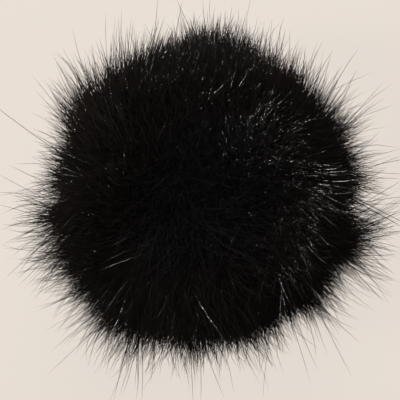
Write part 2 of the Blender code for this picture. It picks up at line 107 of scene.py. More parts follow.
TUFTS, TUFT_LEAN, TUFT_LENGTH = 150, 0.15, 0.09  # broad tufts: how many, and how much they differ
LOCKS, LOCK_LEAN, LOCK_LENGTH = 1500, 0.19, 0.12  # locks of hair, the same way
SHARED_REACH = 0.62  # how much of its extra length a hair shares with its lock
SHARED_LEAN = 0.6  # how much of its lean it shares
MOUTH_FADE = 105  # degrees from the crown where the hairs start to shorten towards the mouth
SAG = 0.08  # drop of a hair's tip, as a share of its length
TONES = 256  # narrow strips of the colour map, one tone of hair each
CROWN_TONES = 0.1875  # share of the colour map that the crown's hairs use
CROWN = radians(20)  # the hairs inside this angle get a painted bluish cast of light, the others are brownish-black
# Round the ball, judged from the photo: turn in degrees, then gains of the dense pile, of its long hairs
# and of its tidiness, and the degrees that the nap is combed round from straight outwards
NAP = (
    (-180, 0.58, 1.60, 0.10, 0),
    (-165, 0.34, 2.10, 0.00, -2),
    (-150, 0.97, 1.00, 0.00, -4),
    (-135, 0.92, 1.00, 0.00, -3),
    (-120, 0.88, 1.00, 0.00, -2),
    (-105, 0.66, 0.75, 0.00, 0),
    (-90, 0.64, 0.60, 0.00, 0),
    (-75, 0.61, 0.75, 0.00, 2),
    (-60, 0.49, 1.00, 0.00, 4),
    (-45, 0.53, 1.60, 0.00, 4),
    (-30, 0.97, 1.10, 0.00, 2),
    (-15, 0.84, 1.75, 0.00, 2),
    (0, 0.70, 1.15, 0.10, 2),
    (15, 0.84, 0.80, 0.20, 10),
    (45, 0.79, 0.60, 0.50, 26),
    (60, 0.81, 0.52, 0.70, 28),
    (75, 1.08, 0.80, 0.80, 14),
    (90, 1.38, 0.35, 0.90, 0),
    (105, 1.09, 0.18, 0.90, -24),
    (120, 0.93, 0.20, 0.80, -44),
    (135, 1.06, 0.38, 0.60, -42),
    (150, 0.98, 1.15, 0.40, -28),
    (165, 0.80, 0.85, 0.20, -6),
    (180, 0.58, 1.60, 0.10, 0),
)
# Panel by panel: a gain of the shine hairs' count, and the angle from the crown that they grow down to
SHINE = ((1.1, 40), (1.2, 100), (0.5, 90), (0.15, 60), (0.3, 60), (0.6, 48))
SHINE_FROM = 13


def span(node):
    """A CAD node's lowest and highest corners, in millimetres."""
    low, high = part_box(node)
    return low / MM, high / MM


def middle_of(node):
    """The middle of a CAD node that is centred on X = 0, in millimetres."""
    low, high = span(node)
    return Vector((0, (low.y + high.y) / 2, (low.z + high.z) / 2))


def unit(v):
    return v / np.linalg.norm(v, axis=-1, keepdims=True)


def ray(polar, turn):
    """Outward unit vectors at angles from the crown and turns about the axis."""
    polar, turn = np.broadcast_arrays(polar, turn)
    return np.stack([np.sin(polar) * np.cos(turn), np.sin(polar) * np.sin(turn), np.cos(polar)], -1)


def level(turn):
    """Outward unit vectors at turns about the axis, level with the floor."""
    return np.stack([np.cos(turn), np.sin(turn), np.zeros_like(turn)], -1)


def whole_turn(count):
    """Even turns about the axis, the first at 0."""
    return np.arange(count) * tau / count


def around(radius, turn, height):
    """Points at turns about the axis and at one height or several, in metres."""
    return (level(turn) * radius + np.expand_dims(height, -1) * [0, 0, 1]) * MM


# ---- The pile ----

def spread(rng, count, low, high, band=(0, MOUTH_ANGLE)):
    """Even random directions as (angle from the crown, turn), between two turns and in a band of angles."""
    height = rng.uniform(cos(band[1]), cos(band[0]), count)
    return np.arccos(height), rng.uniform(low, high, count)


def axes_at(polar, turn):
    """Outward, down-the-panel and sideways unit vectors at directions on the ball."""
    return ray(polar, turn), ray(polar + pi / 2, turn), level(turn + pi / 2)


def nap(turn):
    """NAP's four columns at these turns."""
    places, *gains = np.array(NAP).T
    return [np.interp((np.degrees(turn) + 180) % 360 - 180, places, gain) for gain in gains]


def upright(polar):
    """1 at the crown, where the nap has no one way to lean, and 0 from the side of the ball down."""
    return np.cos(polar).clip(0) ** 1.5


def nearest(points, others):
    """For each point, which of the others is nearest by direction. It works in chunks, to save memory."""
    found = np.empty(len(points), int)
    chunk = 4000
    for start in range(0, len(points), chunk):
        found[start:start + chunk] = np.argmax(points[start:start + chunk] @ others.T, axis=1)
    return found


def leaning(axes, lean):
    """Unit vectors that lean from straight outwards, down the panel and sideways."""
    out, down, side = axes
    return unit(out + down * lean[:, :1] + side * lean[:, 1:])


def grow_locks(rng):
    """Lean, length and reach of the locks that hairs gather into. A lock takes after its tuft."""
    tufts = ray(*spread(rng, TUFTS, -pi, pi))
    tuft_lean = rng.normal(0, TUFT_LEAN, (TUFTS, 2))
    tuft_length = rng.normal(0, TUFT_LENGTH, TUFTS)
    polar, turn = spread(rng, LOCKS, -pi, pi)
    axes = axes_at(polar, turn)
    tuft = nearest(axes[0], tufts)
    tidy, comb = nap(turn)[2:]
    lean = (rng.normal(0, LOCK_LEAN, (LOCKS, 2)) + tuft_lean[tuft]) * (1 - 0.5 * tidy)[:, None]
    lean = lean * (1 + 1.4 * upright(polar))[:, None]
    lean[:, 0] += LEAN * (1 - upright(polar))
    lean[:, 1] += np.tan(np.radians(comb)) * np.sin(polar) ** 2
    return dict(
        out=axes[0],
        aim=leaning(axes, lean),
        lean=lean,
        length=(tuft_length[tuft] + rng.normal(0, LOCK_LENGTH, LOCKS)).clip(-0.32, 0.4),
        reach=rng.exponential(1.0, LOCKS).clip(0.05, 3.5),
    )


def hair_heights(rng, kind, polar, turn, lock_length, lock_reach):
    """How far each hair stands out from the cloth, in metres."""
    core, tail, tidy = nap(turn)[:3]
    belly = np.sin(polar) ** 2
    mouth = np.clip((np.degrees(polar) - MOUTH_FADE) / (degrees(MOUTH_ANGLE) - MOUTH_FADE), 0, 1)
    height = kind["height"] + rng.normal(0, kind["spread"], len(polar)) * (1 - 0.45 * tidy)
    height = height * (1 + (core - 1) * belly)
    own = rng.exponential(1.0, len(polar))
    shared = own * (1 - SHARED_REACH) + lock_reach * SHARED_REACH
    height += kind["tail"] * (own * tidy + shared * (1 - tidy)) * (1 + (tail - 1) * belly)
    height = height * (1 + lock_length * (1 - 0.5 * tidy)) * (1 - 0.55 * mouth)
    return np.clip(height, SHORTEST, HIGHEST) * MM


def hair_aims(rng, kind, polar, axes, lock_lean):
    """The way each hair points: partly its lock's, partly the nap's, and a little its own."""
    crown = 1 - np.sin(polar)[:, None] ** 2
    stray = rng.normal(0, kind["stray"], (len(polar), 2)) * (1 + 1.5 * crown)
    nap_lean = np.stack([LEAN * (1 - upright(polar)), lock_lean[:, 1]], 1)
    lean = SHARED_LEAN * lock_lean + (1 - SHARED_LEAN) * nap_lean + stray
    lean[:, 1] += kind["comb"]
    return leaning(axes, lean)


def hair_paths(rng, kind, count, low, high, band, locks):
    """Points along each hair, (hairs, rings + 1, 3) in metres, and which hairs are the crown's."""
    polar, turn = spread(rng, count, low, high, band)
    axes = axes_at(polar, turn)
    out, down, side = (axis[:, None] for axis in axes)
    lock = nearest(axes[0], locks["out"])
    loose = (1 - 0.55 * nap(turn)[2])[:, None]
    height = hair_heights(rng, kind, polar, turn, locks["length"][lock], locks["reach"][lock])
    aim = hair_aims(rng, kind, polar, axes, locks["lean"][lock])
    length = (height / np.sum(aim * axes[0], 1).clip(0.6))[:, None, None]
    along = np.linspace(0, 1, kind["rings"] + 1)[None, :, None]
    root = CENTRE + out * CLOTH_RADIUS
    straight = root + aim[:, None] * length * along
    # Hairs gather towards their lock's tip, more so near their own tips.
    lock_tip = CENTRE + locks["out"][lock][:, None] * CLOTH_RADIUS + locks["aim"][lock][:, None] * length
    toward = root * (1 - along) + lock_tip * along
    pull = (kind["clump"] * rng.uniform(0.1, 1.0, count)[:, None] * loose)[:, None] * along**1.5
    path = straight * (1 - pull) + toward * pull
    # A slow curl, one bend, and a little sag at the tip.
    phase = rng.uniform(0, tau, (count, 1, 1))
    swing = kind["curl"] * MM * rng.uniform(0.1, 1.6, (count, 1, 1)) * loose[:, :, None] * along
    path = path + side * np.sin(phase + along * kind["twist"]) * swing
    path = path + down * np.cos(phase + along * kind["twist"] * 0.85) * swing
    bend = rng.normal(0, 0.13, (count, 2)) * loose
    path = path + along**2 * length * (down * bend[:, :1, None] + side * bend[:, 1:, None])
    path[:, :, 2] -= SAG * (length * along**2)[:, :, 0]
    path = lie_on_floor(hold_in(path))
    return shorten(path, in_the_way(path)), polar < CROWN


def hold_in(path):
    """Hairs that would reach too far are drawn in towards their roots."""
    tip, root = path[:, -1] / MM, path[:, :1]
    over = np.abs(tip / [WIDEST, WIDEST, TALLEST]).max(1)
    return root + (path - root) * np.clip(1 - (over - 1) * 3.2, 0.3, 1)[:, None, None]


def lie_on_floor(path):
    """Hairs that would go through the floor bend over, and lie on it."""
    ease, rest = FLOOR_EASE * MM, FLOOR_REST * MM
    height = path[:, :, 2]
    bent = rest + (ease - rest) * np.exp((height - ease) / (ease - rest))
    path[:, :, 2] = np.where(height < ease, bent, height)
    return path


def in_the_way(path):
    """True where a hair's point is in the clamp nut's space, or in the way that the cord lock slides."""
    point = path / MM
    nut = (np.linalg.norm(point[:, :, :2], axis=2) < NUT_SPACE) & (point[:, :, 2] < NUT_TOP)
    away = point - np.array(middle_of("cord_lock_body"))
    along = away @ np.array(CORD_AXIS)
    aside = np.linalg.norm((away - along[:, :, None] * np.array(CORD_AXIS))[:, :, 1:], axis=2)
    slide = (along > -LOCK_SPACE) & (along < LOCK_TRAVEL + LOCK_SPACE) & (aside < LOCK_SPACE)
    return nut | (slide & (np.abs(point[:, :, 0]) < LOCK_HALF_LENGTH))


def shorten(path, stopped):
    """Draws each hair in towards its root, to end before its first stopped point."""
    rings = path.shape[1] - 1
    first = np.where(stopped.any(1), stopped.argmax(1) - 0.7, rings)
    share = (first / rings).clip(0.1, 1)[:, None, None]
    return path[:, :1] + (path - path[:, :1]) * share


def hair_points(path, radius, rng):
    """Three corners round each hair at every ring but the last, and one point at its tip."""
    tangent = unit(np.gradient(path, axis=1))
    aside = unit(np.cross(tangent, [0.31, 0.17, 0.93]))
    other = np.cross(tangent, aside)
    turn = whole_turn(3)[:, None]
    offset = aside[:, :, None] * np.cos(turn) + other[:, :, None] * np.sin(turn)
    taper = 1 - 0.5 * np.linspace(0, 1, path.shape[1]) ** 2
    width = radius * MM * rng.uniform(0.7, 1.25, len(path))[:, None] * taper
    corners = path[:, :, None] + offset * width[:, :, None, None]
    return np.concatenate([corners[:, :-1].reshape(len(path), -1, 3), path[:, -1:]], 1)


def hair_faces(rings):
    """One hair's triangles: its foot, its sides and its point."""
    faces = [(2, 1, 0)]
    for ring in range(rings - 1):
        for corner in range(3):
            a, b = ring * 3 + corner, ring * 3 + (corner + 1) % 3
            faces += [(a, b, b + 3), (a, b + 3, a + 3)]
    top = (rings - 1) * 3
    return np.array(faces + [(top + corner, top + (corner + 1) % 3, top + 3) for corner in range(3)])


def hair_uvs(crown, rings, rng):
    """U is the hair's tone, in one strip of the map each, and V runs to its tip. The crown's come first."""
    first, count = round(TONES * CROWN_TONES), len(crown)
    strip = np.where(crown, rng.integers(0, first, count), rng.integers(first, TONES, count))
    u = (strip[:, None] + np.append(np.tile([0.15, 0.5, 0.85], rings), 0.5)) / TONES
    v = np.append(np.repeat(np.arange(rings) / rings * 0.94 + 0.03, 3), 0.97)
    return np.stack([u, np.broadcast_to(v, u.shape)], -1)


def hair_mesh(name, path, crown, radius, rng):
    """Closed three-sided hairs that taper to a point."""
    rings = path.shape[1] - 1
    points, uv = hair_points(path, radius, rng), hair_uvs(crown, rings, rng)
    firsts = np.arange(len(points)) * points.shape[1]
    corners = (hair_faces(rings)[None] + firsts[:, None, None]).reshape(-1)
    mesh = bpy.data.meshes.new(name)
    mesh.vertices.add(points.size // 3)
    mesh.vertices.foreach_set("co", points.reshape(-1))
    mesh.loops.add(len(corners))
    mesh.loops.foreach_set("vertex_index", corners.astype(np.int32))
    mesh.polygons.add(len(corners) // 3)
    mesh.polygons.foreach_set("loop_start", np.arange(0, len(corners), 3, dtype=np.int32))
    mesh.update(calc_edges=True)
    mesh.shade_smooth()
    layer = mesh.uv_layers.new(name="OFBake")
    layer.data.foreach_set("uv", uv.reshape(-1, 2)[corners].astype(np.float32).reshape(-1))
    return mesh


def grow_fur():
    """Every panel's hairs, kind by kind. The undercoat stands for the CAD panel."""
    rng = np.random.default_rng(SEED)
    locks = grow_locks(rng)
    finishes = {name: hair_finish(name, kind) for name, kind in HAIR_KINDS.items()}
    for panel in range(PANELS):
        low, high = tau * panel / PANELS, tau * (panel + 1) / PANELS
        for kind_name, kind in HAIR_KINDS.items():
            count, band = kind["count"], (0, MOUTH_ANGLE)
            if kind_name == "shine":
                gain, edge = SHINE[panel]
                count, band = round(count * gain), (radians(SHINE_FROM), radians(edge))
            node = f"fur_panel_{panel + 1}" if kind_name == "under" else None
            for k in range(kind["pieces"]):
                path, crown = hair_paths(rng, kind, count, low, high, band, locks)
                name = f"fur_{panel + 1}_{kind_name}_{k + 1}"
                hair = add_object(name, hair_mesh(name, path, crown, kind["radius"], rng))
                dress(hair, finishes[kind_name], "cover", node)


# ---- Finishes ----

class Finish:
    """A material under construction, with short calls for its nodes."""

    def __init__(self, name):
        self.material = bpy.data.materials.new(name)
        self.material.use_nodes = True
        self.nodes = self.material.node_tree.nodes
        self.links = self.material.node_tree.links
        self.shader = self.nodes["Principled BSDF"]

    def add(self, kind, inputs=(), **settings):
        node = self.nodes.new("ShaderNode" + kind)
        for key, value in settings.items():
            setattr(node, key, value)
        self.feed(node, dict(inputs))
        return node

    def feed(self, node, inputs):
        """Gives each input, by its name or place, a value: another node's socket, a number or a colour."""
        for key, value in inputs.items():
            if isinstance(value, bpy.types.NodeSocket):
                self.links.new(value, node.inputs[key])
            elif isinstance(value, (int, float)):
                node.inputs[key].default_value = value
            else:
                node.inputs[key].default_value = (*value, 1.0)

    def put(self, **values):
        """Feeds the shader."""
        self.feed(self.shader, {name.replace("_", " "): value for name, value in values.items()})

    def ramp(self, source, *stops):
        ramp = self.add("ValToRGB", {"Fac": source})
        points = ramp.color_ramp.elements
        while len(points) < len(stops):
            points.new(0.5)
        for point, (place, colour) in zip(points, stops):
            point.position = place
            point.color = (*colour, 1.0)
        return ramp.outputs["Color"]

    def mix(self, share, first, second, blend="MIX"):
        inputs = {0: share, 6: first, 7: second}
        return self.add("Mix", inputs, data_type="RGBA", blend_type=blend).outputs[2]

    def mix_numbers(self, share, first, second):
        return self.add("Mix", {0: share, 2: first, 3: second}, data_type="FLOAT").outputs[0]

    def math(self, operation, *values):
        return self.add("Math", enumerate(values), operation=operation).outputs[0]

    def floor(self, value, pitch):
        return self.math("FLOOR", self.math("DIVIDE", value, pitch))

    def wave(self, value, length):
        """Sine with a wavelength in the units of the value."""
        return self.math("SINE", self.math("MULTIPLY", value, tau / length))

    def ridges(self, value, pitch):
        """Rounded ridges, one for each pitch."""
        return self.math("ABSOLUTE", self.wave(value, 2 * pitch))

    def spread_over(self, source, low, high, start=0.0, end=1.0):
        """The source's range from start to end, spread over low to high."""
        ends = {"From Min": start, "From Max": end, "To Min": low, "To Max": high}
        return self.add("MapRange", {"Value": source, **ends}).outputs["Result"]

    def uv(self, name):
        place = self.add("UVMap", uv_map=name).outputs["UV"]
        return self.add("SeparateXYZ", {"Vector": place}).outputs[:2]

    def noise(self, scale, detail):
        place = self.add("TexCoord").outputs["Object"]
        return self.add("TexNoise", {"Vector": place, "Scale": scale, "Detail": detail}).outputs["Fac"]

    def wear(self, colour, shade, roughness, height, depth):
        """Colour, a range of roughness over a shade, and relief of a depth in millimetres."""
        relief = self.add("Bump", {"Height": height, "Distance": depth * MM}).outputs["Normal"]
        self.put(Base_Color=colour, Roughness=self.spread_over(shade, *roughness), Normal=relief)
        return self.material


def hair_finish(name, kind):
    """Black fibre: the crown's hairs with a painted bluish cast of light, the others brownish-black; along
    each hair, lighter roots as painted fill for the shade deep in the pile and paler ends as painted light
    through the tips; and some hairs greyer than others.
    """
    made = Finish("fur_" + name)
    tone, along = made.uv("OFBake")
    # Painted light: lighter roots fill the shade deep in the pile, and paler, browner ends stand for light
    # through the tips.
    body_tone_with_painted_light = made.ramp(
        along,
        (0.0, (0.0044, 0.0038, 0.0036)), (0.6, (0.0025, 0.0021, 0.0020)), (1.0, (0.0078, 0.0056, 0.0044)),
    )
    # Painted light: a bluish cast on the crown's hairs, with lighter roots to fill the shade deep in the
    # pile.
    crown_tone_with_painted_light = made.ramp(
        along,
        (0.0, (0.0110, 0.0110, 0.0134)), (0.7, (0.0046, 0.0045, 0.0053)), (1.0, (0.0034, 0.0033, 0.0038)),
    )
    # Mask of the crown's strips of the colour map, which take the painted bluish cast.
    past_crown = made.ramp(tone, (CROWN_TONES, (0, 0, 0)), (CROWN_TONES + 0.001, (1, 1, 1)))
    noise = made.add("TexNoise", noise_dimensions="1D")
    made.feed(noise, {"W": tone, "Scale": 180})
    grey = made.ramp(
        noise.outputs["Fac"],
        (0.35, (0.85, 0.85, 0.85)), (0.55, (1.0, 0.98, 0.96)), (0.72, (1.25, 1.2, 1.18)),
    )
    made.put(
        Base_Color=made.mix(1.0, made.mix(past_crown, crown_tone_with_painted_light, body_tone_with_painted_light), grey, "MULTIPLY"),
        Roughness=kind["roughness"], Specular_IOR_Level=kind["gloss"], IOR=kind["index"],
    )
    return made.material


def shades(colour, gain, lift=0.0):
    return [share * gain + lift for share in colour]


def plastic(name, colour, roughness, grain=0.035):
    """Moulded plastic: fine spark-eroded grain, soft flow marks, dusty patches and scuffed edges."""
    made = Finish(name)
    patches = made.noise(140, 3)
    face = made.ramp(
        patches, (0.30, shades(colour, 0.8)), (0.55, colour), (0.80, shades(colour, 1.5, 0.003)),
    )
    edge = made.spread_over(made.add("NewGeometry").outputs["Pointiness"], 0.0, 1.0, 0.515, 0.58)
    scuffs = made.spread_over(made.noise(700, 4), 0.0, 1.0, 0.42, 0.66)
    worn = made.mix(made.math("MULTIPLY", edge, scuffs), face, shades(colour, 2.6, 0.016))
    made.put(Specular_IOR_Level=0.45)
    return made.wear(worn, patches, (roughness - 0.10, roughness + 0.12), made.noise(2600, 3), grain)


def rubber(name):
    made = Finish(name)
    dust = made.noise(420, 4)
    colour = made.ramp(dust, (0.35, (0.010, 0.010, 0.010)), (0.75, (0.026, 0.025, 0.024)))
    return made.wear(colour, dust, (0.72, 0.92), made.noise(3600, 3), 0.02)


def steel(name, colour=(0.42, 0.42, 0.43), roughness=0.28):
    made = Finish(name)
    smears = made.noise(900, 4)
    face = made.ramp(smears, (0.3, shades(colour, 0.75)), (0.7, shades(colour, 1.1)))
    made.put(Metallic=1.0)
    return made.wear(face, smears, (roughness - 0.08, roughness + 0.16), made.noise(2400, 2), 0.004)


def woven(name, dark, light, pitch, depth):
    """Plain weave: threads pass over and under each other, with uneven yarn. Its colour is darker where the
    weave is low: painted shade in the hollows between threads.
    """
    made = Finish(name)
    u, v = made.uv("Surface")
    over = made.math("PINGPONG", made.math("ADD", made.floor(u, pitch), made.floor(v, pitch)), 1.0)
    height = made.mix_numbers(over, made.ridges(u, pitch), made.ridges(v, pitch))
    height = made.math("MULTIPLY", height, made.spread_over(made.noise(1800, 2), 0.75, 1.0))
    # Colour by height: painted shade in the hollows between threads, over the yarn's uneven tone.
    return made.wear(made.ramp(height, (0.15, dark), (0.85, light)), height, (0.75, 0.95), height, depth)


def knitted(name, dark, light, pitch, depth):
    """Warp knit: columns of loops that lean left and right by turns. Its colour is darker where the knit is
    low: painted shade between the loops.
    """
    made = Finish(name)
    u, v = made.uv("Surface")
    lean = made.math("MULTIPLY", made.wave(v, 1.4 * pitch), 0.22 * pitch)
    column = made.ridges(made.math("ADD", u, lean), pitch)
    loops = made.math("MULTIPLY", column, made.spread_over(made.wave(v, 0.7 * pitch), 0.6, 1.0))
    height = made.math("MULTIPLY", loops, made.spread_over(made.noise(900, 4), 0.65, 1.0))
    # Colour by height: painted shade between the loops, over the yarn's uneven tone.
    return made.wear(made.ramp(height, (0.1, dark), (0.9, light)), height, (0.85, 1.0), height, depth)


def twill(name, dark, light, pitch, depth):
    """Herringbone hem tape: slanting ribs that turn back at each band. Its colour is darker where the ribs
    are low: painted shade in the grooves between them.
    """
    made = Finish(name)
    u, v = made.uv("Surface")
    slant = made.math("PINGPONG", v, 6 * pitch)
    rib = made.ridges(made.math("ADD", u, slant), pitch)
    threads = made.spread_over(made.wave(made.math("SUBTRACT", u, slant), pitch / 2), 0.8, 1.0)
    height = made.math("MULTIPLY", rib, threads)
    fuzzy = made.math("MULTIPLY", height, made.spread_over(made.noise(700, 4), 0.7, 1.0))
    # Colour by height: painted shade in the grooves between ribs, over the thread's uneven fuzz.
    return made.wear(made.ramp(fuzzy, (0.1, dark), (0.9, light)), height, (0.8, 0.98), height, depth)


def yarn(name, dark, light):
    """Twisted thread, for stitches and the cord's strands."""
    made = Finish(name)
    fibre = made.noise(5200, 3)
    tone = made.math("MULTIPLY", fibre, made.spread_over(made.noise(260, 2), 0.8, 1.25))
    return made.wear(made.ramp(tone, (0.3, dark), (0.72, light)), fibre, (0.62, 0.9), fibre, 0.03)


# ---- Mesh parts: each is (points, faces, one UV in millimetres for each face corner) ----

def skin(rings, loop=False, tube=True, caps=False):
    """Faces between successive rings of points. The UV runs along the rings, then round them."""
    rings = np.asarray(rings, float)
    n, m = rings.shape[:2]
    i, j = np.meshgrid(np.arange(n if loop else n - 1), np.arange(m if tube else m - 1), indexing="ij")
    i, j = i.reshape(-1), j.reshape(-1)
    below, beside = (i + 1) % n, (j + 1) % m
    faces = np.stack([i * m + j, i * m + beside, below * m + beside, below * m + j], 1).tolist()
    along = np.linalg.norm(np.diff(np.concatenate([rings, rings[:1]]), axis=0), axis=2).mean(1)
    round_it = np.linalg.norm(np.diff(np.concatenate([rings, rings[:, :1]], 1), axis=1), axis=2).mean(0)
    u = np.concatenate([[0], np.cumsum(along)]) / MM
    v = np.concatenate([[0], np.cumsum(round_it)]) / MM
    uv = np.stack([u[i], v[j], u[i], v[j + 1], u[i + 1], v[j + 1], u[i + 1], v[j]], 1)
    uv = uv.reshape(-1, 2).tolist()
    if caps:
        for first in (0, (n - 1) * m):
            faces.append(list(range(first, first + m)))
            uv += [[0.0, 0.0]] * m
    return rings.reshape(-1, 3), faces, uv


def lathe(profile, steps, ends_on_axis=False, gain=None):
    """Turns a profile of (radius, height) about Z. gain(turn, radius, height) scales the radii."""
    radius, height = np.array(profile, float).T
    turn = whole_turn(steps)[:, None]
    if gain is not None:
        radius = radius * gain(turn, radius, height)
    places = np.broadcast_arrays(radius * np.cos(turn), radius * np.sin(turn), height)
    return skin(np.stack(places, 2) * MM, loop=True, tube=not ends_on_axis)


def line(start, end, shares):
    return np.asarray(start) + (np.asarray(end) - start) * np.asarray(shares)[:, None]


def curve(start, corner, end, shares):
    """A smooth turn from start to end that heads for the corner at both."""
    t = np.asarray(shares)[:, None]
    return start * (1 - t) ** 2 + corner * 2 * t * (1 - t) + end * t**2


def rounded(corners, radius, steps=4, closed=True):
    """A profile with each corner eased by up to this radius."""
    corners = [np.array(c, float) for c in corners]
    eased = []
    for i, corner in enumerate(corners):
        if not closed and i in (0, len(corners) - 1):
            eased.append(corner)
            continue
        before = corners[i - 1] - corner
        after = corners[(i + 1) % len(corners)] - corner
        lengths = np.linalg.norm(before), np.linalg.norm(after)
        reach = min(radius, 0.45 * lengths[0], 0.45 * lengths[1])
        start, end = corner + before / lengths[0] * reach, corner + after / lengths[1] * reach
        eased += list(curve(start, corner, end, np.linspace(0, 1, steps + 1)))
    return eased


def dense_profile(profile, step):
    """The same profile with points no further apart than a step."""
    dense = [np.array(profile[0], float)]
    for a, b in zip(profile, profile[1:]):
        count = max(1, ceil(dist(a, b) / step))
        dense += list(line(a, b, np.arange(1, count + 1) / count))
    return dense


def sweep(path, section, normals, loop=False, gain=None):
    """Runs a section of (across, outwards) points along a path that has an outward direction, in metres.

    The gain scales the section: a number for each of the path's points, or for each of the section's too.
    """
    path, section = np.asarray(path, float), np.asarray(section, float)
    ahead = unit(np.roll(path, -1, 0) - np.roll(path, 1, 0) if loop else np.gradient(path, axis=0))
    outwards = np.asarray(normals, float)
    outwards = unit(outwards - ahead * np.sum(outwards * ahead, 1, keepdims=True))
    across = np.cross(ahead, outwards)
    gain = np.asarray(gain, float).reshape(len(path), -1, 1) if gain is not None else 1.0
    rings = path[:, None] + gain * (
        across[:, None] * section[None, :, :1] + outwards[:, None] * section[None, :, 1:]
    )
    return skin(rings, loop=loop, caps=not loop)


def ball_strap(radius, polar, turn, section, loop=False):
    """A bar that follows a sphere about the ball's centre."""
    out = ray(polar, turn)
    return sweep(CENTRE + out * radius * MM, section, out, loop=loop)


def level_strap(radius, turns, height, section, gain=None):
    """A bar that goes round the axis."""
    return sweep(around(radius, turns, height), section, level(turns), gain=gain)


def circle(radius, sides):
    """A round section, in metres."""
    return level(whole_turn(sides))[:, :2] * radius * MM


def bar(width, height, ease):
    """A rounded rectangle as a section, in metres."""
    w, h = width / 2, height / 2
    return np.array(rounded([(-w, -h), (w, -h), (w, h), (-w, h)], ease, 3)) * MM


def stitch(start, end, radius, sides):
    """A short thread between two points in metres."""
    shares = (0.0, 0.12, 0.5, 0.88, 1.0)
    widths = (0.35, 0.9, 1.0, 0.9, 0.35)
    aside = np.cross(end - start, [0.3, 0.5, 0.8])[None]
    return sweep(line(start, end, shares), circle(radius, sides), aside, gain=widths)


def slot_cutter(low, high, half_width, reach, ease, steps, turn=0.0):
    """A slot with eased corners that runs along X from -reach to reach, then is turned about Z."""
    corners = [(-half_width, low), (half_width, low), (half_width, high), (-half_width, high)]
    outline = rounded(corners, ease, steps)
    points = np.array([[(x, y, z) for y, z in outline] for x in (-reach, reach)])
    c, s = cos(turn), sin(turn)
    return [skin(points @ [[c, s, 0], [-s, c, 0], [0, 0, 1]] * MM, caps=True)]


def smooth(mesh, sharp=40):
    """Shades smooth, with edges kept sharp from this many degrees up."""
    mesh.shade_smooth()
    mesh.set_sharp_from_angle(angle=radians(sharp))


def mesh_of(name, parts):
    """One mesh from parts, closed where a profile meets its axis, with its faces pointing out."""
    points, faces, uv, first = [], [], [], 0
    for part_points, part_faces, part_uv in parts:
        points.append(part_points)
        faces += [[k + first for k in face] for face in part_faces]
        uv += part_uv
        first += len(part_points)
    mesh = bpy.data.meshes.new(name)
    mesh.from_pydata(np.concatenate(points).tolist(), [], faces)
    layer = mesh.uv_layers.new(name="Surface")
    layer.data.foreach_set("uv", np.array(uv, np.float32).reshape(-1))
    bm = bmesh.new()
    bm.from_mesh(mesh)
    bmesh.ops.remove_doubles(bm, verts=bm.verts, dist=1e-7)
    bmesh.ops.dissolve_degenerate(bm, edges=bm.edges, dist=1e-8)
    bmesh.ops.recalc_face_normals(bm, faces=bm.faces)
    bm.to_mesh(mesh)
    bm.free()
    smooth(mesh)
    return mesh


def add_object(name, data):
    obj = bpy.data.objects.new(name, data)
    bpy.context.scene.collection.objects.link(obj)
    return obj


def dress(obj, finish, body, node):
    """Gives an object its finish, ties it to its body, and hides the CAD node that it stands for."""
    obj.data.materials.clear()
    obj.data.materials.append(finish)
    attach(obj, body)
    if node:
        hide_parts(node)
    return obj


def piece(name, parts, finish, body, node=None, place=None, cutters=()):
    """A finished piece: parts joined, carved and put in their place."""
    obj = add_object(name, mesh_of(name, parts))
    for cutter in cutters:
        carve(obj, cutter)
    if place is not None:
        obj.data.transform(place)
    return dress(obj, finish, body, node)


def carve(obj, parts):
    """Cuts a cutter's parts away from a piece and keeps the result as its mesh."""
    tool = add_object("cutter", mesh_of("cutter", parts))
    change = obj.modifiers.new("cut", "BOOLEAN")
    change.object = tool
    change.solver = "EXACT"
    graph = bpy.context.evaluated_depsgraph_get()
    result = bpy.data.meshes.new_from_object(obj.evaluated_get(graph))
    obj.modifiers.clear()
    obj.data = result
    bpy.data.objects.remove(tool)
    smooth(obj.data)


def stand(middle, x_axis, z_axis):
    """Matrix that puts a piece built about the origin on a middle in millimetres, along two directions."""
    turn = Matrix((x_axis, z_axis.cross(x_axis), z_axis)).transposed().to_4x4()
    return Matrix.Translation(middle * MM) @ turn


X_AXIS = Vector((1, 0, 0))
DOWN_THE_CORDS = -Vector(CORD_AXIS)


# ---- The cover's fabric, hem and cord ----

def on_ball(radius, angle):
    """A profile point on a sphere about the ball's centre, at an angle in degrees from the crown."""
    return radius * sin(radians(angle)), BALL_Z / MM + radius * cos(radians(angle))


def shell(radius, wall, start, end, rows, steps=120):
    """Part of a hollow sphere, between angles in degrees from the crown."""
    outside = [on_ball(radius, angle) for angle in np.linspace(start, end, rows)]
    inside = [on_ball(radius - wall, angle) for angle in np.linspace(end, start, rows)]
    return lathe(outside + inside, steps)


def backing():
    """The knitted fabric that the pile grows from, with six overlocked seams on its inner side."""
    knit = knitted("backing_knit", (0.0016, 0.0016, 0.0016), (0.010, 0.0098, 0.0098), 0.9, 0.10)
    outer = CLOTH_RADIUS / MM
    inner = outer - BACKING_WALL
    edge = degrees(MOUTH_ANGLE)
    piece("cover_backing", [shell(outer, BACKING_WALL, 0.6, edge, 48, 144)], knit, "cover")
    seams, stitches = [], []
    for turn in whole_turn(PANELS):
        polar = np.radians(np.linspace(8, edge - 2, 60))
        seams.append(ball_strap(inner - 0.05, polar, turn, bar(2.4, 0.42, 0.2)))
        for polar in np.radians(np.arange(9, edge - 4, 2.2)):
            stitches += [seam_stitch(inner - 0.28, polar, turn, lean) for lean in (-1, 1)]
    piece("cover_seams", seams, knit, "cover")
    thread = yarn("seam_thread", (0.012, 0.011, 0.011), (0.045, 0.043, 0.042))
    piece("cover_seam_stitches", stitches, thread, "cover")


def seam_stitch(radius, polar, turn, lean):
    """One slanting stitch across a seam."""
    slant, half_width = radians(0.9), 1.15
    ends = [
        CENTRE + (ray(polar + side * lean * slant, turn) * radius
                  + level(turn + pi / 2) * side * half_width) * MM
        for side in (-1, 1)
    ]
    return stitch(*ends, 0.12, 5)


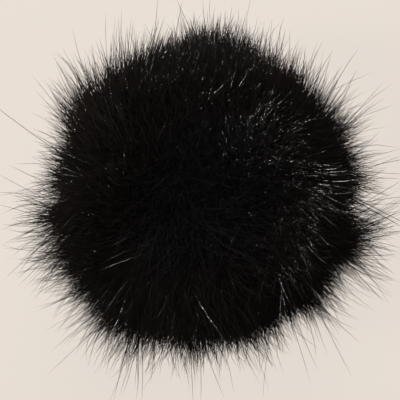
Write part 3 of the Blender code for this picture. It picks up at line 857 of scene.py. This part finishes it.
def gathers(turn):
    """Uneven pleats in the hem, in millimetres outwards."""
    return (
        0.26 * np.sin(46 * turn + 1.3 * np.sin(3 * turn))
        + 0.14 * np.sin(29 * turn + 2.0) + 0.08 * np.sin(83 * turn)
    )


def neck_binding():
    """Gathered hem tape that holds the drawcord, with three rows of stitches."""
    low, high = span("neck_binding")
    outer, bottom, top = high.x, low.z, high.z
    inner = outer - BINDING_WIDTH
    middle = (inner + outer) / 2
    profile = rounded([
        (inner, bottom + 0.3), (outer - 0.5, bottom), (outer - 0.15, bottom + 1.1), (outer, bottom + 2.2),
        (outer, bottom + 3.4), (outer - 0.35, bottom + 4.4), (outer - 0.2, bottom + 6.8),
        (outer - 0.6, top - 0.1), (inner + 0.4, top), (inner, top - 1.0),
    ], 0.8, 5)

    def pleat(turn, radius, _):
        share = np.clip((radius - middle) / (outer - middle), 0, 1)
        return 1 + share * (gathers(turn) - 0.40) / radius

    tape = twill("hem_tape", (0.004, 0.004, 0.004), (0.022, 0.021, 0.021), 0.55, 0.06)
    piece("neck_tape", [lathe(profile, 432, gain=pleat)], tape, "cover", "neck_binding")
    stitches, per_row = [], 44
    for height, inset in ((bottom + 1.0, 0.52), (bottom + 4.3, 0.62), (top - 1.3, 0.72)):
        for k in range(per_row):
            turns = tau * (k + np.array([0.14, 0.86])) / per_row
            radii = outer - inset + gathers(turns)
            stitches.append(stitch(*around(radii[:, None], turns, height), 0.17, 6))
    thread = yarn("hem_thread", (0.020, 0.019, 0.019), (0.075, 0.072, 0.070))
    piece("neck_tape_stitches", stitches, thread, "cover")


def cord_path():
    """The cord's middle line: once round the neck, then both ends out and down at the front, in metres."""
    leave = radians(CORD_EXIT_ANGLE)
    turn = np.linspace(pi, leave, 90)
    hoop = CORD_CIRCLE * np.stack([np.sin(turn), -np.cos(turn)], 1)
    turn = np.linspace(leave, pi / 2, 10)[1:]
    bend = np.stack([(np.sin(turn) - sin(leave)) * 0.95, cos(leave) - np.cos(turn)], 1)
    neck = np.concatenate([hoop, hoop[-1] - CORD_BEND * bend])
    neck = np.column_stack([neck, np.full(len(neck), CORD_Z)])
    knee = np.array([CORD_SPACING / 2, -CORD_DROP_START, CORD_Z])
    end = np.array([CORD_SPACING / 2, -CORD_END_Y, CORD_END_Z])
    out = line(neck[-1], knee, np.linspace(0, 1, 10)[1:-3])
    past_knee = line(knee, end, np.linspace(0.05, 1, 40))
    over = curve(out[-1], knee, past_knee[0], np.linspace(0, 1, 8)[1:-1])
    half = np.concatenate([neck, out, over, past_knee])
    return np.concatenate([half[::-1] * [-1, 1, 1], half[1:]]) * MM


def evenly(path, step):
    """The same path with points at an even spacing, and each point's distance along it."""
    lengths = np.concatenate([[0], np.cumsum(np.linalg.norm(np.diff(path, axis=0), axis=1))])
    places = np.linspace(0, lengths[-1], round(lengths[-1] / step))
    return np.stack([np.interp(places, lengths, path[:, axis]) for axis in range(3)], 1), places


def drawcord():
    """Braided elastic cord. Crossing ridges stand up from its surface like the strands of a braid."""
    path, places = evenly(cord_path(), 0.2 * MM)
    sides, strands, pitch = 24, 4, 4.4 * MM
    turn = whole_turn(sides)
    swing = tau * places / pitch
    right = np.cos(strands * turn[None] + 2 * swing[:, None])
    left = np.cos(strands * turn[None] - 2 * swing[:, None])
    relief = 0.86 + 0.14 * np.maximum(right, left)
    part = sweep(path, circle(CORD_RADIUS, sides), [[0.0, 0.0, 1.0]], gain=relief)
    braid = yarn("cord_braid", (0.006, 0.006, 0.006), (0.040, 0.039, 0.038))
    piece("drawcord_braid", [part], braid, "cover", "drawcord")


def cord_eyelet():
    """Rolled metal grommet, its flat back on the hem."""
    low, high = span("cord_eyelet")
    inner, outer, wall = 2.75, (high.z - low.z) / 2, high.y - low.y
    roll = rounded([(inner, 0), (outer, 0), (outer - 0.25, wall * 0.75), (inner + 0.1, wall)], 0.45, 6)
    middle = middle_of("cord_eyelet")
    middle.y = high.y
    metal = steel("gunmetal", (0.10, 0.10, 0.105), 0.32)
    place = stand(middle, X_AXIS, Vector((0, -1, 0)))
    piece("cord_grommet", [lathe(roll, 96)], metal, "cover", "cord_eyelet", place)


def cord_clip():
    """Moulded clip on the cord's ends, with three grip rings."""
    radius, length = span("cord_end")[1].x, 4.8
    profile = [(0, 0), (radius - 0.4, 0), (radius, 0.6)]
    for z in (1.2, 1.95, 2.7):
        taper = radius - 0.10 * (z - 0.6)
        profile += [(taper, z - 0.16), (taper - 0.22, z), (taper - 0.04, z + 0.22)]
    profile += [(radius * 0.85, length - 1.0), (radius * 0.55, length), (0, length)]
    part = lathe(rounded(profile, 0.3, 3, closed=False), 72, ends_on_axis=True)
    finish = plastic("clip_plastic", (0.012, 0.012, 0.013), 0.42)
    place = stand(middle_of("cord_end") - DOWN_THE_CORDS * length / 2, X_AXIS, DOWN_THE_CORDS)
    piece("cord_clip", [part], finish, "cover", "cord_end", place)


# ---- The cord lock: built about Z, and laid along X, with its own X down the cords ----

def cord_lock():
    place = stand(middle_of("cord_lock_body"), DOWN_THE_CORDS, X_AXIS)
    low, high = span("cord_lock_body")
    radius = (high.z - low.z) / 2
    lock_barrel(low.x, high.x, radius, place)
    lock_button(radius, place)
    lock_spring(place)


def cord_slot(lock_radius, travel=0.0):
    """A cutter for the two cords' slot through the lock, and for how far it travels along them."""
    half_width = CORD_RADIUS + 0.25
    end = CORD_SPACING / 2 + half_width
    return slot_cutter(-end, end + travel, half_width, 2 * lock_radius, half_width * 0.98, 6)


def lock_barrel(back, front, radius, place):
    """Fluted barrel, open at its front for the button."""
    inner = radius - LOCK_WALL
    profile = rounded([
        (0, back), (radius - 1.1, back), (radius, back + 1.2), (radius, front - 0.8), (radius - 0.5, front),
        (inner, front), (inner, back + LOCK_WALL), (0, back + LOCK_WALL),
    ], 0.5, closed=False)

    def flutes(turn, r, z):
        on_side = (r > radius - 0.35) & (z > back + 1.0) & (z < front - 0.6)
        fade = np.clip(np.minimum(z - back - 1.0, front - 0.6 - z), 0, 1)
        return 1 - on_side * fade * 0.26 * (0.5 + 0.5 * np.cos(24 * turn)) ** 2 / radius

    body = lathe(dense_profile(profile, 0.5), 192, ends_on_axis=True, gain=flutes)
    finish = plastic("lock_plastic", (0.014, 0.014, 0.015), 0.38)
    slot = cord_slot(radius)
    piece("lock_barrel", [body], finish, "cord_lock", "cord_lock_body", place, [slot])


def lock_button(radius, place):
    """Button with a stem inside the barrel and two fine rings on its face."""
    low, high = span("cord_lock_plunger")
    foot, top = low.x, high.x
    stem, head, rim = radius - LOCK_WALL - 0.3, top - 2.2, radius - 0.4
    profile = rounded([
        (0, foot), (stem, foot), (stem, head), (rim, head), (rim, top - 0.8), (rim - 0.8, top),
        (3.0, top), (2.75, top - 0.22), (2.5, top),
        (1.8, top), (1.55, top - 0.22), (1.3, top), (0, top - 0.05),
    ], 0.3, closed=False)
    cap = [lathe(profile, 96, ends_on_axis=True)]
    finish = plastic("button_plastic", (0.020, 0.020, 0.021), 0.34)
    slot = cord_slot(radius, BUTTON_TRAVEL)
    piece("lock_button_cap", cap, finish, "lock_button", "cord_lock_plunger", place, [slot])


def lock_spring(place):
    """A coil of three turns, the length of the CAD spring."""
    low, high = span("cord_lock_spring")
    wire, coils = 0.35, 3
    radius = (high.z - low.z) / 2 - wire
    turns = np.linspace(0, coils * tau, 60 * coils)
    local = around(radius, turns, np.linspace(low.x + wire, high.x - wire, len(turns)))
    coil = [sweep(local, circle(wire, 10), local * [1, 1, 0])]
    metal = steel("spring_steel")
    spring = piece("lock_coil", coil, metal, "cord_lock", "cord_lock_spring", place)
    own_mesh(spring)


# ---- The ball ----

def basket_rows():
    """Angles from the crown of the front and rear baskets' rings."""
    edge = degrees(acos((RIM_HEIGHT + RIM_GAP) * MM / BALL_RADIUS))
    foot = degrees(acos((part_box("rear_basket")[0].z - BALL_Z) / BALL_RADIUS))
    return np.linspace(6.0, edge, FRONT_ROWS + 1), np.linspace(180 - edge, foot, REAR_ROWS + 1)


def cage(rows):
    """Moulded ribs of half a basket: rounded meridians, and a ring at each row."""
    middle = BALL_RADIUS / MM - BASKET_WALL / 2
    polar, rib = np.radians(np.linspace(rows[0], rows[-1], 40)), bar(RIB_WIDTH, BASKET_WALL, 0.55)
    parts = [ball_strap(middle, polar, turn, rib) for turn in whole_turn(BASKET_COLUMNS)]
    for row in rows:
        width = RIB_WIDTH if rows[0] < row < rows[-1] else RIB_WIDTH * 0.75
        ring = bar(width, BASKET_WALL - 0.1, 0.5)
        parts.append(ball_strap(middle, radians(row), whole_turn(160), ring, loop=True))
    return parts


def disc(profile, ease):
    return lathe(rounded(profile, ease, closed=False), 96, ends_on_axis=True)


def baskets():
    """Two ribbed halves: the front one with a disc at the crown, the rear one with a ring at the neck."""
    front, rear = basket_rows()
    finish = plastic("basket_plastic", (0.016, 0.016, 0.017), 0.46)
    outer = BALL_RADIUS / MM
    edge = outer * sin(radians(front[0])) + 0.6
    top = BALL_Z / MM + outer
    crown = disc([
        (0, top - BASKET_WALL), (edge, top - BASKET_WALL - 0.2), (edge, top - 0.35),
        (edge - 1.2, top - 0.1), (edge - 1.5, top - 0.45), (0, top - 0.35),
    ], 0.25)
    piece("front_cage", cage(front) + [crown], finish, "ball", "front_basket")
    bottom, inner = span("rear_basket")[0].z, NECK_RADIUS + 0.6
    foot = outer * sin(radians(rear[-1]))
    boss = rounded([
        (inner, bottom), (foot + 0.9, bottom),
        (foot + 0.6, bottom + BASKET_WALL), (inner, bottom + BASKET_WALL),
    ], 0.35)
    piece("rear_cage", cage(rear) + [lathe(boss, 120)], finish, "ball", "rear_basket")


def gauzes():
    """Woven acoustic gauze behind the ribs, a band for each row of windows, with fine gaps between them."""
    cloth = woven("acoustic_gauze", (0.0035, 0.0035, 0.0037), (0.034, 0.034, 0.036), 0.42, 0.05)
    wall, gap = 0.4, 0.03
    radius = BALL_RADIUS / MM - BASKET_WALL - 0.15
    front, rear = basket_rows()
    bottom = span("rear_basket")[0].z + BASKET_WALL + 0.1
    rear[-1] = degrees(acos((bottom - BALL_Z / MM) / radius))

    def bands(edges):
        return [shell(radius, wall, a + gap, b - gap, 8) for a, b in zip(edges, edges[1:])]

    crown = disc([
        on_ball(radius, 0), on_ball(radius, front[0]),
        on_ball(radius - wall, front[0]), on_ball(radius - wall, 0),
    ], 0.02)
    piece("front_gauze_cloth", [crown] + bands(front), cloth, "ball", "front_gauze")
    piece("rear_gauze_cloth", bands(rear), cloth, "ball", "rear_gauze")


def rims():
    """The joint rings, with snap tabs round the outside and a rubber seal between them."""
    finish = plastic("rim_plastic", (0.015, 0.015, 0.016), 0.40)
    low, high = span("front_rim")
    outer, inner = high.x, high.x - RIM_WALL
    profile = rounded([
        (inner, low.z), (outer - 0.1, low.z), (outer, low.z + 0.7), (outer - 0.25, low.z + 1.0),
        (outer, low.z + 1.3), (outer, high.z), (inner, high.z),
    ], 0.25, 3)
    front = [lathe(profile, 180)] + tabs(outer, high.z - 1.1, 1.5)
    piece("front_joint_ring", front, finish, "ball", "front_rim")
    face, spigot = low.z - 0.3, inner - 0.3
    low, high = span("rear_rim")
    groove_in, groove_out, groove_z = spigot + 0.9, outer - 0.8, face - 1.1
    profile = rounded([
        (outer, low.z), (outer, face - 1.2), (outer - 0.2, face - 0.95), (outer, face - 0.7),
        (outer - 0.1, face), (groove_out, face), (groove_out, groove_z), (groove_in, groove_z),
        (groove_in, face), (spigot, face), (spigot, high.z), (spigot - 1.4, high.z), (spigot - 1.4, low.z),
    ], 0.2, 3)
    rear = [lathe(profile, 180)] + tabs(outer, low.z + 1.0, 1.4)
    piece("rear_joint_ring", rear, finish, "ball", "rear_rim")
    low, high = span("rim_seal")
    turns = whole_turn(16)
    section = np.stack([
        high.x - 0.4 + 0.38 * np.cos(turns), (low.z + high.z) / 2 + 0.34 * np.sin(turns),
    ], 1)
    piece("rim_gasket", [lathe(section, 180)], rubber("seal_rubber"), "ball", "rim_seal")


def tabs(radius, height, tall):
    """Eight low snap tabs round a ring."""
    parts = []
    for k in range(8):
        turns = tau * (k + np.linspace(-0.055, 0.055, 12)) / 8
        parts.append(level_strap(radius - 0.1, turns, height, bar(tall, 0.6, 0.28)))
    return parts


# ---- The collar and its clamp ----

def helix(radius, low, high, lead, starts, section):
    """Raised thread on a tube, its ends tapering into the surface."""
    rise = (high - low) / lead
    share = np.linspace(0, 1, round(rise * 72))
    height, section = low + (high - low) * share, np.array(section) * MM
    fade = np.clip(np.minimum(share, 1 - share) * 9, 0.05, 1)
    return [
        level_strap(radius, start + tau * rise * share, height, section, fade) for start in whole_turn(starts)
    ]


def collar():
    """Neck tube: flange inside the ball, thread for the nut, and six tapered fingers."""
    high = span("collar")[1]
    under = high.z - FLANGE_WALL
    profile = rounded([
        (COLLAR_BORE, 0), (FINGER_TIP_RADIUS, 0), (THREAD_RADIUS, TAPER_TOP_Z), (THREAD_RADIUS, NECK_Z),
        (NECK_RADIUS, NECK_Z), (NECK_RADIUS, under), (high.x, under), (high.x, high.z), (COLLAR_BORE, high.z),
    ], 0.3)
    slots = [
        slot_cutter(-SLOT_TOP_Z, SLOT_TOP_Z, 0.6, NECK_RADIUS + 2, 0.5, 4, pi * (k + 0.5) / 3)
        for k in range(3)
    ]
    finish = plastic("collar_plastic", (0.017, 0.017, 0.018), 0.36)
    tube = lathe(profile, 144)
    piece("collar_tube", [tube], finish, "ball", "collar", cutters=slots)
    ridge = [(-0.42, -0.1), (0.42, -0.1), (0.12, 0.2), (-0.12, 0.2)]
    thread = helix(THREAD_RADIUS, RING_TOP_Z + 0.6, NECK_Z - 0.4, NUT_LEAD, 2, ridge)
    piece("collar_thread", thread, finish, "ball")


def grip_sleeve():
    """Rubber liner: three soft ribs, each with fine lips."""
    low, high = span("grip_sleeve")
    heights = np.linspace(high.z, low.z, 160)
    phase = (heights - low.z) / (high.z - low.z) * 3
    swell = np.clip(np.sin(phase % 1 * pi) * 1.6 - 0.35, 0, 1)
    lips = 0.07 * swell * np.sin(heights * tau / 0.9)
    bore = SLEEVE_BORE - (SLEEVE_BORE - SLEEVE_RIB_BORE) * swell + lips
    profile = [(high.x, low.z), (high.x, high.z), *zip(bore, heights)]
    piece("grip_liner", [lathe(profile, 120)], rubber("liner_rubber"), "ball", "grip_sleeve")


def clamp_nut():
    """Lobed twist nut with eased edges, fine grip lines in its hollows and a raised pointer."""
    low, high = span("clamp_nut")
    bottom, top = low.z, high.z
    lip, lip_top, thread = FINGER_TIP_RADIUS + 1.0, bottom + 1.1, THREAD_RADIUS + 0.3
    profile = rounded([
        (lip, bottom), (NUT_RADIUS - 1.0, bottom), (NUT_RADIUS, bottom + 1.0), (NUT_RADIUS, top - 1.0),
        (NUT_RADIUS - 1.0, top), (thread, top), (thread, POCKET_TOP_Z), (POCKET_RADIUS, POCKET_TOP_Z),
        (POCKET_RADIUS, lip_top), (lip, lip_top),
    ], 0.55, 5)
    depth, margin = 1.4, 1.4  # of the lobes' walls, and of the plain bands above and below the grip lines

    def lobes(turn, radius, height):
        share = np.clip((radius - NUT_RADIUS + depth) / depth, 0, 1)
        hollow = ((1 - np.cos(NUT_LOBES * turn)) / 2) ** 1.3
        above = np.clip((height - bottom - margin) / 0.6, 0, 1)
        below = np.clip((top - margin - height) / 0.6, 0, 1)
        lines = 0.07 * np.sin(height * tau / 1.1) * hollow * above * below * (share > 0.9)
        return 1 - (share * 0.75 * hollow - lines) / np.maximum(radius, 1)

    body = lathe(dense_profile(profile + profile[:1], 0.55)[:-1], 432, gain=lobes)
    turns = np.linspace(-0.05, 0.05, 9)
    widths = 1 - np.abs(np.linspace(-1, 1, 9)) * 0.9
    pointer = level_strap(NUT_RADIUS - 0.12, turns, (bottom + top) / 2, bar(5.0, 0.5, 0.2), widths)
    finish = plastic("nut_plastic", (0.015, 0.015, 0.016), 0.42, 0.05)
    piece("twist_nut", [body, pointer], finish, "nut", "clamp_nut")


def carried_over():
    """CAD nodes that are shown as they are, shaded smooth and finished."""
    finishes = {"compression_ring": plastic("ring_nylon", (0.52, 0.50, 0.45), 0.50)}
    screw_steel = steel("screw_steel", (0.30, 0.30, 0.31), 0.34)
    finishes.update({f"collar_screw_{k}": screw_steel for k in range(1, 5)})
    for name, finish in finishes.items():
        mesh = frame["nodes"][name].data
        mesh.materials.clear()
        mesh.materials.append(finish)
        smooth(mesh, 35)


def hardware():
    neck_binding()
    drawcord()
    cord_eyelet()
    cord_clip()
    cord_lock()
    baskets()
    gauzes()
    rims()
    collar()
    grip_sleeve()
    clamp_nut()
    carried_over()


# ---- The studio ----

FLOOR_COLOUR, FLOOR_SIDE = (0.784, 0.716, 0.652), 6.0
FLOOR_BOUNCE = 0.06  # how much of its own colour the floor gives back to the part
FLOOR_GLOW = 0.90
WALL = (0.76, 0.7334, 0.7068)  # what the camera sees past the floor
FILL = (0.225, 0.235, 0.25)  # what lights the part from all round
LAMP_COLOUR = (1.0, 0.97, 0.93)
LENS = 85.0
VIEW_WIDTH = 158.4 * MM  # across the picture at the ball's middle
VIEW_SHIFT = (-1.2 * MM, -1.4 * MM)


def studio():
    made = Finish("floor")
    made.put(Base_Color=shades(FLOOR_COLOUR, FLOOR_BOUNCE), Roughness=0.9, Specular_IOR_Level=0.05)
    made.put(Emission_Color=FLOOR_COLOUR, Emission_Strength=FLOOR_GLOW)
    mesh = bpy.data.meshes.new("floor")
    half = FLOOR_SIDE / 2
    corners = [(-half, -half, 0), (half, -half, 0), (half, half, 0), (-half, half, 0)]
    mesh.from_pydata(corners, [], [(0, 1, 2, 3)])
    mesh.materials.append(made.material)
    add_object("floor", mesh)
    world = bpy.data.worlds.new("studio")
    world.use_nodes = True
    nodes, links = world.node_tree.nodes, world.node_tree.links
    seen = nodes.new("ShaderNodeMix")
    seen.data_type = "RGBA"
    seen.inputs["A"].default_value = (*FILL, 1)
    seen.inputs["B"].default_value = (*WALL, 1)
    links.new(nodes.new("ShaderNodeLightPath").outputs["Is Camera Ray"], seen.inputs["Factor"])
    links.new(seen.outputs["Result"], nodes["Background"].inputs["Color"])
    bpy.context.scene.world = world
    lamp("softbox_top", (0.05, 0.82, 0.52), 0.45, 11)
    lamp("softbox_over", (0.05, 0.15, 1.00), 0.40, 6)
    lamp("softbox_left", (-0.62, -0.05, 0.75), 0.14, 8)


def lamp(name, place, side, power):
    """A square softbox that points at the ball's middle."""
    light = bpy.data.lights.new(name, "AREA")
    light.shape = "SQUARE"
    light.size = side
    light.energy = power
    light.color = LAMP_COLOUR
    obj = add_object(name, light)
    obj.location = place
    obj.rotation_euler = (Vector(CENTRE) - Vector(place)).to_track_quat("-Z", "Y").to_euler()


def camera():
    """Looks straight down on the crown, with +Y up the picture."""
    data = bpy.data.cameras.new("camera")
    data.lens = LENS
    cam = add_object("camera", data)
    cam.location = (*VIEW_SHIFT, BALL_Z + VIEW_WIDTH * data.lens / data.sensor_width)
    bpy.context.scene.camera = cam


grow_fur()
backing()
hardware()
studio()
camera()
scene = bpy.context.scene
scene.view_settings.view_transform = "Standard"
